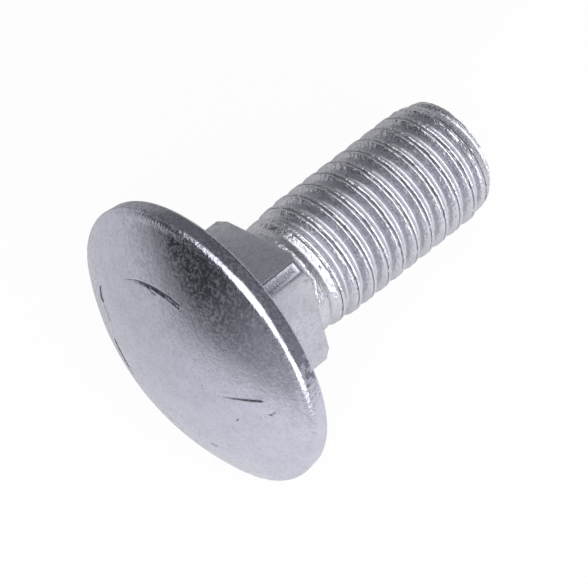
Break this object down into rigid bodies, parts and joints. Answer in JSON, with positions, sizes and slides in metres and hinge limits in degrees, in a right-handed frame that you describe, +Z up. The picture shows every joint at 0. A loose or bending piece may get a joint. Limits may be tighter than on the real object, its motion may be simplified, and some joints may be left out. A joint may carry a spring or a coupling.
{
  "type": "carriage bolt",
  "caption": "Carriage bolt with a low domed head, a square neck that keys into its hole, and a coarse rolled thread with a chamfered tip, lying at rest.",
  "frame": {"origin": "on the floor, under the middle of the bolt as it lies on the rim of its head and its last crests", "axes": "+Z up, +X along the floor from the head towards the tip, with the bolt's axis in the XZ plane and sinking 16 degrees towards the tip"},
  "size_m": [0.0392, 0.03, 0.0292],
  "materials": {
    "zinc_plate": "bright zinc plating on steel, satin and finely dented on the dome, brighter on the rolled thread"
  },
  "bodies": {
    "root": {"carriage_bolt": "zinc_plate"}
  },
  "joints": []
}
